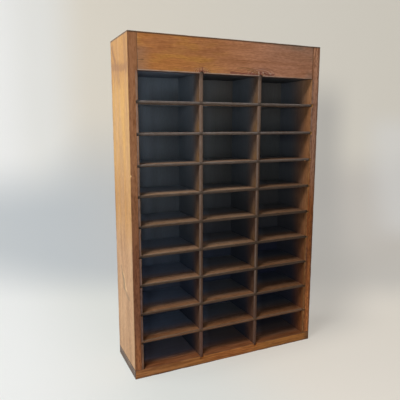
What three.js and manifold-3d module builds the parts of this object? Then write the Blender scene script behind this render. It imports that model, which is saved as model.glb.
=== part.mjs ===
// A pigeonhole mail sorter: an open-fronted wooden case with three columns of ten letter holes.
// Nine thin shelves run right across the case into housings in its sides, and two thin dividers cross
// them by halved joints. The back is three lapped boards, and the case is nailed together.
// Millimetres, +Z up, the front towards -Y. The origin lies under the middle of the bottom board.

import * as THREE from "three";
import { mergeVertices } from "three/addons/utils/BufferGeometryUtils.js";
import Module from "manifold-3d";

const wasm = await Module();
wasm.setup();

// The case
const caseWidth = 503;
const caseHeight = 790;
const caseDepth = 145;
const sideThickness = 21;
const bottomThickness = 22;
const railHeight = 79.5;
const railThickness = 20;
const ceilingThickness = 12;
const topThickness = 18;
const backThickness = 8;

// The letter holes
const columnCount = 3;
const rowCount = 10;
const shelfThickness = 6.5;
const dividerThickness = 9;
const frontSetback = 5;

// The joints between the boards
const sideHousingDepth = 5.3;
const footHousingDepth = 7;
const headHousingDepth = 4;
const backSeatWidth = 10;
const backLapWidth = 8;
const seamGap = 0.3;

// The nails that hold the case, and the lighter ones that hold the back
const caseNailLength = 50;
const caseNailDiameter = 2.8;
const caseNailHead = 5.6;
const backNailLength = 30;
const backNailDiameter = 2;
const backNailHead = 4.4;
const nailHeadThickness = 1.4;
const nailPointLength = 4;
const nailSink = 0.7;
const nailSides = 10;
const baseNailsPerSide = 3;
const baseNailInset = 24;
const railNailsPerSide = 2;
const railNailInset = 20;
const topNailsPerSide = 2;
const topNailInset = 24;
const backNailsPerSide = 3;
const backNailsPerEnd = 2;
const backNailInset = 45;

// How far a cut runs on into the open air past the face that it starts from
const cutOverrun = 2;

// Planes and distances that several pieces share
const front = -caseDepth / 2;
const rear = caseDepth / 2;
const innerHalfWidth = caseWidth / 2 - sideThickness;
const shelfHalfLength = innerHalfWidth + sideHousingDepth - seamGap;
const backHalfWidth = innerHalfWidth + backSeatWidth - seamGap;
const backFace = rear - backThickness;
const rebateFace = backFace - seamGap;
const backLapFace = (backFace + rear) / 2;
const backFoot = bottomThickness - backSeatWidth;
const gridFront = front + frontSetback;
const gridRear = rebateFace;
const crossing = (gridFront + gridRear) / 2;
const railRear = front + railThickness;
const holesTop = caseHeight - railHeight;
const holesHeight = holesTop - bottomThickness;
const rowHeight = (holesHeight - (rowCount - 1) * shelfThickness) / rowCount;
const columnWidth = (2 * innerHalfWidth - (columnCount - 1) * dividerThickness) / columnCount;

// The span of shelf number n in height, counted from the lowest, with room left round it.
function shelfSpan(n, room) {
  const underside = bottomThickness + n * rowHeight + (n - 1) * shelfThickness;
  return [underside - room, underside + shelfThickness + room];
}

// The span of divider number n across the case, counted from the left, with room left round it.
function dividerSpan(n, room) {
  const face = n * columnWidth + (n - 1) * dividerThickness - innerHalfWidth;
  return [face - room, face + dividerThickness + room];
}

// The whole numbers from 1 to the count.
function numbersTo(count) {
  return Array.from({ length: count }, (_, i) => i + 1);
}

// Points spread evenly from one place to another, both included.
function spread(count, from, to) {
  return numbersTo(count).map((n) => from + ((n - 1) * (to - from)) / Math.max(count - 1, 1));
}

// A closed geometry as a solid that can be cut.
function solidOf(geometry) {
  const bare = geometry.clone();
  bare.deleteAttribute("normal");
  bare.deleteAttribute("uv");
  const merged = mergeVertices(bare);
  const vertProperties = merged.attributes.position.array;
  const triVerts = new Uint32Array(merged.index.array);
  return new wasm.Manifold(new wasm.Mesh({ numProp: 3, vertProperties, triVerts }));
}

// A solid as a geometry with flat faces.
function geometryOf(solid) {
  const mesh = solid.getMesh();
  const geometry = new THREE.BufferGeometry();
  geometry.setAttribute("position", new THREE.BufferAttribute(mesh.vertProperties, 3));
  geometry.setIndex(new THREE.BufferAttribute(mesh.triVerts, 1));
  const flat = geometry.toNonIndexed();
  flat.computeVertexNormals();
  return flat;
}

// A square-edged block between two planes each way.
function block(x, y, z) {
  const size = [x, y, z].map(([a, b]) => Math.abs(b - a));
  const middle = [x, y, z].map(([a, b]) => (a + b) / 2);
  return solidOf(new THREE.BoxGeometry(...size).translate(...middle));
}

// A solid with every cut taken out of it.
function cutFrom(solid, cuts) {
  return cuts.reduce((left, cut) => left.subtract(cut), solid);
}

// A nail along +Y with its head at the origin, or the hole for one, with room all round it.
function nailForm(size, room) {
  const headRadius = size.head / 2 + room;
  const radius = size.diameter / 2 + room;
  const headFace = room > 0 ? -nailSink - cutOverrun : 0;
  const shoulder = nailHeadThickness + room;
  const profile = [
    new THREE.Vector2(0, headFace),
    new THREE.Vector2(headRadius, headFace),
    new THREE.Vector2(headRadius, shoulder),
    new THREE.Vector2(radius, shoulder),
    new THREE.Vector2(radius, size.length - nailPointLength + room),
    new THREE.Vector2(0, size.length + room),
  ];
  return new THREE.LatheGeometry(profile, nailSides);
}

// A nail driven from a point on a face, sunk a little below it, and the hole that it fills.
function drive(size, point, direction) {
  const way = new THREE.Vector3(...direction);
  const turn = new THREE.Quaternion().setFromUnitVectors(new THREE.Vector3(0, 1, 0), way);
  const head = new THREE.Vector3(...point).addScaledVector(way, nailSink);
  const hole = nailForm(size, seamGap).applyQuaternion(turn).translate(...head.toArray());
  return { size, turn, head, hole: solidOf(hole) };
}

// Finishes: honey-coloured sides, a browner rail and bottom, greyed thin boards and dull steel
const sideWood = { color: 0xcf9c62, roughness: 0.5, metalness: 0 };
const railWood = { color: 0x96642f, roughness: 0.5, metalness: 0 };
const baseWood = { color: 0x85552d, roughness: 0.55, metalness: 0 };
const gridWood = { color: 0x7a5f4a, roughness: 0.65, metalness: 0 };
const backWood = { color: 0x6b5238, roughness: 0.8, metalness: 0 };
const nailSteel = { color: 0x4a4541, roughness: 0.55, metalness: 0.9 };

const sorter = new THREE.Group();

// Adds one named piece to the sorter.
function add(name, geometry, finish) {
  const mesh = new THREE.Mesh(geometry, new THREE.MeshStandardMaterial(finish));
  mesh.name = name;
  sorter.add(mesh);
  return mesh;
}

// Adds a row of like nails, numbered from 1.
function addNails(name, nails) {
  nails.forEach((nail, i) => {
    const mesh = add(`${name}_${i + 1}`, nailForm(nail.size, 0), nailSteel);
    mesh.position.copy(nail.head);
    mesh.quaternion.copy(nail.turn);
  });
}

const caseNail = { length: caseNailLength, diameter: caseNailDiameter, head: caseNailHead };
const backNail = { length: backNailLength, diameter: backNailDiameter, head: backNailHead };
const hands = [-1, 1];
const sideMiddle = caseWidth / 2 - sideThickness / 2;
const topMiddle = caseHeight - topThickness / 2;
const seatMiddle = innerHalfWidth + backSeatWidth / 2;

// Nails up through the bottom board into the foot of each side.
const baseNails = hands.flatMap((hand) =>
  spread(baseNailsPerSide, front + baseNailInset, rebateFace - baseNailInset).map((y) =>
    drive(caseNail, [hand * sideMiddle, y, 0], [0, 0, 1]),
  ),
);

// Nails through each side into the end of the rail.
const railNails = hands.flatMap((hand) =>
  spread(railNailsPerSide, holesTop + railNailInset, caseHeight - railNailInset).map((z) =>
    drive(caseNail, [(hand * caseWidth) / 2, (front + railRear) / 2, z], [-hand, 0, 0]),
  ),
);

// Nails through each side into the end of the top board, short of the points of the back's nails.
const backNailReach = rear - backNailLength;
const topNails = hands.flatMap((hand) =>
  spread(topNailsPerSide, railRear + topNailInset, backNailReach - topNailInset).map((y) =>
    drive(caseNail, [(hand * caseWidth) / 2, y, topMiddle], [-hand, 0, 0]),
  ),
);

// The upright joints of the back, behind the middle of each divider, and the two outer edges.
const backEdges = [
  -backHalfWidth,
  ...numbersTo(columnCount - 1).map((n) => (dividerSpan(n, 0)[0] + dividerSpan(n, 0)[1]) / 2),
  backHalfWidth,
];

// Nails through the back boards into the sides, between shelves, and into the bottom and top boards.
const nailedShelves = spread(backNailsPerSide, 1, rowCount - 1).map(Math.round);
const backSideNails = hands.flatMap((hand) =>
  nailedShelves.map((n) =>
    drive(backNail, [hand * seatMiddle, rear, shelfSpan(n, 0)[1] + rowHeight / 2], [0, -1, 0]),
  ),
);
const backEndNails = [backFoot + backSeatWidth / 2, topMiddle].flatMap((z) =>
  numbersTo(columnCount).flatMap((n) =>
    spread(backNailsPerEnd, backEdges[n - 1] + backNailInset, backEdges[n] - backNailInset).map((x) =>
      drive(backNail, [x, rear, z], [0, -1, 0]),
    ),
  ),
);
const backNails = [...backSideNails, ...backEndNails];
const holes = [...baseNails, ...railNails, ...topNails, ...backNails].map((nail) => nail.hole);

const shelves = numbersTo(rowCount - 1);
const dividers = numbersTo(columnCount - 1);
const throughFrontToRear = [front - cutOverrun, rear + cutOverrun];

// A side stands on the bottom board. It is housed for every shelf and the ceiling, and rebated behind.
function side(hand) {
  const outer = (hand * caseWidth) / 2;
  const inner = hand * innerHalfWidth;
  const openInside = inner - hand * cutOverrun;
  const housing = [inner + hand * sideHousingDepth, openInside];
  const rebate = [inner + hand * backSeatWidth, openInside];
  const wholeHeight = [0, caseHeight + cutOverrun];
  const ceilingSpan = [holesTop - seamGap, holesTop + ceilingThickness + seamGap];
  const board = block([outer, inner], [front, rear], [bottomThickness + seamGap, caseHeight]);
  return cutFrom(board, [
    ...shelves.map((n) => block(housing, throughFrontToRear, shelfSpan(n, seamGap))),
    block(housing, [railRear, rear + cutOverrun], ceilingSpan),
    block(rebate, [rebateFace, rear + cutOverrun], wholeHeight),
    ...holes,
  ]);
}

// The bottom board lies under both sides. It is housed for the dividers' feet and rebated behind.
function bottomBoard() {
  const openAbove = bottomThickness + cutOverrun;
  const rebateHalfWidth = backHalfWidth + seamGap;
  const feet = [bottomThickness - footHousingDepth, openAbove];
  const board = block([-caseWidth / 2, caseWidth / 2], [front, rear], [0, bottomThickness]);
  return cutFrom(board, [
    ...dividers.map((n) => block(dividerSpan(n, seamGap), [front - cutOverrun, backFace], feet)),
    block([-rebateHalfWidth, rebateHalfWidth], [rebateFace, rear + cutOverrun], [backFoot, openAbove]),
    ...holes,
  ]);
}

// The notches that take the dividers' heads, in the rail and in the ceiling board.
function headNotches() {
  const heads = [holesTop - cutOverrun, holesTop + headHousingDepth];
  return dividers.map((n) => block(dividerSpan(n, seamGap), throughFrontToRear, heads));
}

// The rail closes the front between the sides, level with their tops.
function topRail() {
  const halfLength = innerHalfWidth - seamGap;
  const board = block([-halfLength, halfLength], [front, railRear], [holesTop, caseHeight]);
  return cutFrom(board, [...headNotches(), ...holes]);
}

// The ceiling board lies over the top row of holes, its ends in the sides.
function ceilingBoard() {
  const depth = [railRear + seamGap, rebateFace];
  const height = [holesTop, holesTop + ceilingThickness];
  return cutFrom(block([-shelfHalfLength, shelfHalfLength], depth, height), headNotches());
}

// The top board closes the case behind the rail.
function topBoard() {
  const halfLength = innerHalfWidth - seamGap;
  const depth = [railRear + seamGap, rebateFace];
  const height = [caseHeight - topThickness, caseHeight];
  return cutFrom(block([-halfLength, halfLength], depth, height), holes);
}

// Back board number n from the left. Its right edge laps in front of its neighbour's left edge.
function backBoard(n) {
  const lapLeft = n > 1;
  const lapRight = n < columnCount;
  const reach = (backLapWidth - seamGap) / 2;
  const clear = (backLapWidth + seamGap) / 2;
  const leftEdge = backEdges[n - 1] - (lapLeft ? reach : 0);
  const rightEdge = backEdges[n] + (lapRight ? reach : 0);
  const wholeHeight = [0, caseHeight + cutOverrun];
  const board = block([leftEdge, rightEdge], [backFace, rear], [backFoot + seamGap, caseHeight]);
  const cuts = [...holes];
  if (lapLeft) {
    const lip = [leftEdge - cutOverrun, backEdges[n - 1] + clear];
    cuts.push(block(lip, [backFace - cutOverrun, backLapFace + seamGap / 2], wholeHeight));
  }
  if (lapRight) {
    const lip = [backEdges[n] - clear, rightEdge + cutOverrun];
    cuts.push(block(lip, [backLapFace - seamGap / 2, rear + cutOverrun], wholeHeight));
  }
  return cutFrom(board, cuts);
}

// A divider stands in the bottom board and the ceiling, slotted from the front for each shelf.
function divider(n) {
  const foot = bottomThickness - footHousingDepth + seamGap;
  const head = holesTop + headHousingDepth - seamGap;
  const slot = [gridFront - cutOverrun, crossing + seamGap / 2];
  const board = block(dividerSpan(n, 0), [gridFront, gridRear], [foot, head]);
  const across = dividerSpan(n, cutOverrun);
  return cutFrom(board, shelves.map((m) => block(across, slot, shelfSpan(m, seamGap))));
}

// A shelf runs from side to side with an unbroken front edge, slotted from behind for each divider.
function shelf(n) {
  const slot = [crossing - seamGap / 2, gridRear + cutOverrun];
  const board = block([-shelfHalfLength, shelfHalfLength], [gridFront, gridRear], shelfSpan(n, 0));
  const through = shelfSpan(n, cutOverrun);
  return cutFrom(board, dividers.map((m) => block(dividerSpan(m, seamGap), slot, through)));
}

add("left_side", geometryOf(side(-1)), sideWood);
add("right_side", geometryOf(side(1)), sideWood);
add("bottom_board", geometryOf(bottomBoard()), baseWood);
add("top_rail", geometryOf(topRail()), railWood);
add("ceiling_board", geometryOf(ceilingBoard()), gridWood);
add("top_board", geometryOf(topBoard()), sideWood);
numbersTo(columnCount).forEach((n) => add(`back_board_${n}`, geometryOf(backBoard(n)), backWood));
dividers.forEach((n) => add(`divider_${n}`, geometryOf(divider(n)), gridWood));
shelves.forEach((n) => add(`shelf_${n}`, geometryOf(shelf(n)), gridWood));
addNails("base_nail", baseNails);
addNails("rail_nail", railNails);
addNails("top_nail", topNails);
addNails("back_nail", backNails);

export default sorter;
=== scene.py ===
"""Looks of an old pigeonhole mail sorter: aged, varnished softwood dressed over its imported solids."""

import math
import random
from functools import partial

import bmesh
import bpy
from bpy.props import FloatProperty, FloatVectorProperty, IntProperty, PointerProperty
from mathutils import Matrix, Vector, noise


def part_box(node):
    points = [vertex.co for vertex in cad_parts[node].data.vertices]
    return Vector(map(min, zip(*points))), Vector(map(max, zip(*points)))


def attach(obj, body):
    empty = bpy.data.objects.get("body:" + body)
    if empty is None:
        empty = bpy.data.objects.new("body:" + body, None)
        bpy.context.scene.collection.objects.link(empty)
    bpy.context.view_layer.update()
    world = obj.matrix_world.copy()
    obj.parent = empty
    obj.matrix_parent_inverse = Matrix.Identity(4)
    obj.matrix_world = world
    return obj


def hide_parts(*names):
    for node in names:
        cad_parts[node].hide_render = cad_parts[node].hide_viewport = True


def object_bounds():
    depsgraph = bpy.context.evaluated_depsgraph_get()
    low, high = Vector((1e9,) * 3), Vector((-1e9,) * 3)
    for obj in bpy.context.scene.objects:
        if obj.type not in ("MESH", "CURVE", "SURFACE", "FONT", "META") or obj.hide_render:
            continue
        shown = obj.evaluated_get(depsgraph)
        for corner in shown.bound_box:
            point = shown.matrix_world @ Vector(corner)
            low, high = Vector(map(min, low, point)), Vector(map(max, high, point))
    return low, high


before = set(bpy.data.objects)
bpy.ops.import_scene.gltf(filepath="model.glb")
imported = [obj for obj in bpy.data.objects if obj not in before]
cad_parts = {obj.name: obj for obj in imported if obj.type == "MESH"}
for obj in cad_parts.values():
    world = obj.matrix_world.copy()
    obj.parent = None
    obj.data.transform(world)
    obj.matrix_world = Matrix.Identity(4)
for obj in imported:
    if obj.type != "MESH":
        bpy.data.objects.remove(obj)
cad_low, cad_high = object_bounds()

bl_info = {
    "name": "Pigeonhole mail sorter",
    "version": (1, 0, 0),
    "blender": (4, 5, 0),
    "location": "View3D > Sidebar > Sorter",
    "description": "Dresses a wooden case of letter holes as aged, varnished softwood",
    "category": "Object",
}

BODY = "root"


def numbered(prefix):
    """The CAD nodes with this prefix and a number, in the order of their numbers."""
    found = [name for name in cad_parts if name.startswith(prefix)]
    return sorted(found, key=lambda name: int(name[len(prefix):]))


# Planes of the case that several pieces refer to
front_plane = cad_low.y
rail_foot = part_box("top_rail")[0].z
inner_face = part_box("top_rail")[1].x
base_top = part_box("bottom_board")[1].z
upright_faces = [-inner_face] + [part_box(node)[1].x for node in numbered("divider_")]


def length(name, description, default):
    """A length that a user may change."""
    return FloatProperty(name=name, description=description, default=default, min=0, unit="LENGTH")


def colour(name, description, default):
    """A colour that a user may change, in linear light."""
    return FloatVectorProperty(
        name=name, description=description, default=default, min=0, max=1, size=3, subtype="COLOR"
    )


class SorterSizes(bpy.types.PropertyGroup):
    """Sizes of what is dressed onto the solids."""

    case_arris: length("Case arris", "Rounding along the edges of the thick boards", 0.0009)
    grid_arris: length("Grid arris", "Rounding along the edges of shelves and dividers", 0.0009)
    case_slice: length("Case slice", "Spacing of the cross cuts along a thick board", 0.007)
    grid_slice: length("Grid slice", "Spacing of the cross cuts along shelves and dividers", 0.011)
    wear_reach: length("Wear reach", "How far from an edge the wear goes", 0.0024)
    wear_depth: length("Wear depth", "How deep the wear bites into an edge", 0.0005)
    chip_reach: length("Chip reach", "How far a chip runs along an edge, each way", 0.0038)
    chip_depth: length("Chip depth", "How deep a chip goes", 0.0013)
    scribe_inset: length("Scribe inset", "From a side's inner face to its scribed line", 0.0053)
    scribe_width: length("Scribe width", "Width of the scribed line", 0.0008)
    scribe_depth: length("Scribe depth", "Depth of the scribed line", 0.0006)
    grid_waver: length("Grid waver", "How far the front edges of shelves and dividers wander", 0.0005)
    nail_head: length("Nail head", "Diameter of a case nail's head", 0.0056)
    nail_shank: length("Nail shank", "Thickness of a case nail", 0.0028)
    back_nail_head: length("Back nail head", "Diameter of a back nail's head", 0.0044)
    back_nail_shank: length("Back nail shank", "Thickness of a back nail", 0.002)
    head_thickness: length("Head thickness", "Thickness of every nail's head", 0.0014)
    stopping_sink: length("Stopping sink", "How far the stopping lies under a side's face", 0.00002)
    nail_seed: IntProperty(name="Nail seed", description="Picks how each nail is turned", default=7)


class SorterFinish(bpy.types.PropertyGroup):
    """Colours of the wood and the nails."""

    side_head: colour("Side, head", "Browner wood at the head of the sides", (0.450, 0.227, 0.055))
    side_gold: colour("Side, upper", "Golden wood high on the sides", (0.530, 0.287, 0.065))
    side_tan: colour("Side, middle", "Tan wood in the middle of the sides", (0.465, 0.233, 0.055))
    side_pink: colour("Side, foot", "Pinker wood near the foot of the sides", (0.460, 0.259, 0.122))
    side_stain: colour("Side, stain", "Brown stains on the sides", (0.27, 0.120, 0.038))
    scuff_brown: colour("Scuff", "Dirt in the scuff low on the left side", (0.200, 0.128, 0.060))
    bare_wood: colour("Bare wood", "Pale wood where the varnish is knocked off", (0.66, 0.430, 0.210))
    edge_light: colour("Left edge, light", "Varnish high on the left front edge", (0.347, 0.147, 0.062))
    edge_dark: colour("Left edge, dark", "Darker varnish low on the left front edge", (0.218, 0.076, 0.031))
    edge_foot: colour("Left edge, foot", "Varnish at the left edge's foot", (0.367, 0.127, 0.042))
    edge_rose: colour("Right edge, rosy", "Varnish at the right edge's head", (0.520, 0.240, 0.130))
    edge_brown: colour("Right edge, brown", "Varnish high on the right front edge", (0.375, 0.175, 0.100))
    edge_red: colour("Right edge, red", "Varnish low on the right front edge", (0.285, 0.082, 0.015))
    edge_orange: colour("Right edge, orange", "Varnish at the right edge's foot", (0.560, 0.180, 0.042))
    strip_high: colour("Left strip, high", "Strip by the left column, high up", (0.312, 0.185, 0.128))
    strip_low: colour("Left strip, low", "Strip by the left column, low down", (0.150, 0.085, 0.070))
    strip_foot: colour("Left strip, foot", "Strip by the left column, at its foot", (0.240, 0.125, 0.080))
    strip_mauve: colour("Right strip, high", "Strip by the right column, high up", (0.300, 0.165, 0.118))
    strip_orange: colour("Right strip, middle", "Strip by the right column, half way", (0.350, 0.083, 0.009))
    strip_tan: colour("Right strip, tan", "Strip by the right column, above that", (0.459, 0.176, 0.047))
    strip_amber: colour("Right strip, low", "Strip by the right column, low down", (0.325, 0.108, 0.023))
    rail_gold: colour("Rail, left", "Golden wood of the rail's left part", (0.525, 0.203, 0.056))
    rail_rose: colour("Rail, right", "Rosy wood of the rail's right part", (0.551, 0.248, 0.138))
    rail_yellow: colour("Rail, yellow", "Yellow patches of the rail", (0.563, 0.260, 0.055))
    rail_brown: colour("Rail, brown", "Brown streaks of the rail", (0.390, 0.150, 0.062))
    rail_grey: colour("Rail, grey", "Worn grey patches of the rail", (0.30, 0.180, 0.115))
    rail_red: colour("Rail, red", "Red streaks round the rail's knots", (0.230, 0.070, 0.050))
    # Painted shade: the rail's underside, which faces down, coloured dark
    rail_underside_shade: colour("Rail, underside", "Dark underside of the rail", (0.100, 0.046, 0.034))
    # Partly worn, partly a painted highlight along the rail's lower edge; also pale lines round its knots
    rail_lip: colour("Rail, lip", "Rubbed lower edge of the rail", (0.58, 0.440, 0.350))
    base_front: colour("Bottom, front", "Varnish on the front of the bottom board", (0.463, 0.168, 0.033))
    base_inside: colour("Bottom, inside", "Wood of the bottom board in the holes", (0.370, 0.137, 0.052))
    end_grain: colour("End grain", "Grey end grain of the bottom board", (0.046, 0.037, 0.032))
    shelf_high: colour("Shelf, high", "Greyer wood of the upper shelves", (0.429, 0.270, 0.160))
    shelf_low: colour("Shelf, low", "Warmer wood of the lower shelves", (0.350, 0.157, 0.067))
    shelf_right: colour("Shelf, right", "Darker shelves of the right column", (0.224, 0.097, 0.040))
    # Partly worn, partly a painted highlight along the front of the shelves' faces
    arris_high: colour("Upper shelf, arris", "Rubbed fronts of the upper shelves", (0.624, 0.468, 0.348))
    arris_low: colour("Lower shelf, arris", "Rubbed fronts of the lower shelves", (0.490, 0.296, 0.174))
    shelf_deep_high: colour("Upper shelf, inside", "Greyer wood in the upper holes", (0.432, 0.281, 0.190))
    shelf_deep_low: colour("Lower shelf, inside", "Greyer wood in the lower holes", (0.345, 0.204, 0.131))
    # Painted shade over dusty wood deep on the level boards: pale upper left, darker low and right
    shelf_dust_and_shade: colour("Shelf dust", "Grey dust deep on the upper left shelves", (0.420, 0.490, 0.560))
    shelf_shade: colour("Shelf shade", "Dark dust deep on the lower left shelves", (0.231, 0.310, 0.449))
    shelf_dark_shade: colour("Shelf soot", "Soot deep on the right shelves", (0.176, 0.189, 0.206))
    divider_high: colour("Divider, high", "Wood of the dividers, high up", (0.176, 0.106, 0.068))
    divider_low: colour("Divider, low", "Wood of the dividers, low down", (0.120, 0.061, 0.038))
    divider_foot: colour("Divider, foot", "Wood of the dividers in the lowest row", (0.165, 0.081, 0.050))
    # Painted warm light that falls on the dividers near the front, above each shelf
    divider_warm_light: colour("Divider, warm", "Warmer dividers above each shelf", (0.300, 0.165, 0.062))
    inner_high: colour("Inner face, high", "Inside of the sides, high up", (0.490, 0.240, 0.110))
    inner_low: colour("Inner face, low", "Inside of the sides, low down", (0.190, 0.068, 0.024))
    inner_middle: colour("Inner face, middle", "Inside of the sides, half way up", (0.330, 0.146, 0.060))
    inner_foot: colour("Inner face, foot", "Inside of the sides, in the lowest row", (0.275, 0.094, 0.031))
    worn_edge: colour("Worn edges", "Greyed front edges of the upper shelves", (0.126, 0.095, 0.080))
    dark_edge: colour("Dark edges", "Dark front edges of the middle shelves", (0.046, 0.025, 0.014))
    brown_edge: colour("Brown edges", "Brown front edge of the lowest shelf", (0.225, 0.092, 0.035))
    # Partly worn, partly a painted highlight along the top of each shelf's front edge
    highlit_rubbed_edge: colour("Rubbed edges", "Pale upper edge of each shelf's front", (0.250, 0.215, 0.195))
    highlit_rubbed_low: colour("Rubbed edges, low", "Rubbed edges of the lower shelves", (0.190, 0.125, 0.082))
    upright_high: colour("Divider edge, high", "Dividers' front edges, high up", (0.219, 0.141, 0.100))
    upright_low: colour("Divider edge, low", "Dividers' front edges, low down", (0.109, 0.050, 0.026))
    upright_foot: colour("Divider edge, foot", "Dividers' front edges, lowest row", (0.162, 0.072, 0.047))
    # Painted highlight on the left half of the dividers' front edges
    upright_highlight: colour("Divider edge, pale", "Rubbed left of the dividers' edges", (0.228, 0.160, 0.124))
    upright_warm: colour("Divider edge, warm", "Right divider's edge, half way up", (0.110, 0.048, 0.022))
    # Painted cool shade on the dusty underside of the ceiling board
    ceiling: colour("Ceiling", "Dusty underside of the ceiling board", (0.245, 0.296, 0.390))
    # Painted shade deep in the holes: pale and cool upper left, dark lower right, black low down
    dust_and_shade: colour("Dust", "Dusty wood deep in the upper left holes", (0.240, 0.274, 0.310))
    dark_shade: colour("Soot", "Blackened wood deep in the lower right holes", (0.059, 0.062, 0.066))
    pitch: colour("Pitch", "Black wood deep in the lowest holes", (0.030, 0.039, 0.067))
    back_raw: colour("Back, raw", "Bare wood on the outside of the back", (0.36, 0.230, 0.128))
    back_brown: colour("Back, brown", "Browner bare wood of the middle back board", (0.300, 0.180, 0.095))
    back_pale: colour("Back, pale", "Paler bare wood of one back board", (0.415, 0.275, 0.160))
    top_wood: colour("Top", "Wood of the top board", (0.42, 0.170, 0.050))
    # Also carries painted shade: dark lines at the tops, the foot and the front edges
    grime_and_shade: colour("Grime", "Dirt in seams, nail holes and end grain", (0.045, 0.028, 0.019))
    nail_steel: colour("Nail steel", "Dull steel of the nails", (0.085, 0.070, 0.058))
    nail_rust: colour("Nail rust", "Rust on the nails", (0.130, 0.055, 0.025))


class SorterStage(bpy.types.PropertyGroup):
    """The floor, the backdrop and the light."""

    sweep: colour("Sweep", "Pale paper under and behind the sorter", (0.74, 0.73, 0.69))
    floor_left: colour("Floor, left", "How the floor looks at the left", (0.93, 0.95, 0.95))
    floor_middle: colour("Floor, middle", "How the floor looks before the sorter", (0.79, 0.81, 0.77))
    floor_right: colour("Floor, right", "How the floor looks at the right", (0.93, 0.85, 0.74))
    bend_left: colour("Bend, left", "How the paper's bend looks at the left", (0.49, 0.54, 0.585))
    bend_shade: colour("Bend, shade", "How the paper looks in the sorter's shade", (0.500, 0.475, 0.440))
    bend_middle: colour("Bend, middle", "How the paper looks behind the sorter", (0.680, 0.635, 0.575))
    bend_right: colour("Bend, right", "How the paper's bend looks at the right", (0.70, 0.645, 0.580))
    bend_far: colour("Bend, far right", "How the paper looks clear of that shade", (0.93, 0.92, 0.90))
    wall_bright: colour("Wall, far left", "How the wall looks by the large lamp", (1.0, 1.0, 0.99))
    wall_left: colour("Wall, left", "How the wall looks at the left", (0.91, 0.90, 0.86))
    wall_middle: colour("Wall, middle", "How the wall looks behind the sorter", (0.850, 0.770, 0.640))
    wall_right: colour("Wall, right", "How the wall looks at the right", (0.87, 0.81, 0.70))
    # Share of the paper's look, painted light and shade, that glows where it is seen directly
    glow: FloatProperty(name="Glow", description="How much of that look is the paper's own", default=0.6)
    left_power: FloatProperty(name="Left lamp", description="Power of the large lamp", default=29)
    high_power: FloatProperty(name="High lamp", description="Power of the smaller lamp", default=14.5)
    room_power: FloatProperty(name="Room lamp", description="Power of the cool lamp in front", default=12)
    room_tint: colour("Room tint", "Colour of the cool lamp in front", (0.72, 0.87, 1.0))
    fill_level: FloatProperty(name="Fill level", description="Strength of the even light", default=0.10)
    fill: colour("Fill", "Colour of the even light", (0.76, 0.88, 1.0))
    lens: FloatProperty(name="Lens", description="Focal length in millimetres", default=40.55)


class Value:
    """One number in a node tree, with arithmetic that adds Math nodes."""

    def __init__(self, nodes, socket):
        self.nodes = nodes
        self.socket = socket

    def __add__(self, other):
        return self.nodes.math("ADD", self, other)

    def __sub__(self, other):
        return self.nodes.math("SUBTRACT", self, other)

    def __rsub__(self, other):
        return self.nodes.math("SUBTRACT", other, self)

    def __mul__(self, other):
        return self.nodes.math("MULTIPLY", self, other)

    def __truediv__(self, other):
        return self.nodes.math("DIVIDE", self, other)

    __radd__ = __add__
    __rmul__ = __mul__

    def least(self, other):
        return self.nodes.math("MINIMUM", self, other)

    def most(self, other):
        return self.nodes.math("MAXIMUM", self, other)

    def size(self):
        return self.nodes.math("ABSOLUTE", self)

    def fraction(self):
        return self.nodes.math("FRACT", self)

    def root(self):
        return self.nodes.math("SQRT", self)

    def rise(self, low, high):
        """0 below low, 1 above high, and a smooth rise between."""
        settings = {"interpolation_type": "SMOOTHSTEP"}
        sockets = {"Value": self, "From Min": low, "From Max": high}
        return Value(self.nodes, self.nodes.add("ShaderNodeMapRange", settings, sockets).outputs["Result"])

    def fall(self, low, high):
        """1 below low, 0 above high, and a smooth fall between."""
        return 1 - self.rise(low, high)


def away(*parts):
    """The length of a vector with these parts."""
    first, *others = (part * part for part in parts)
    return sum(others, first).root()


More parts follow.
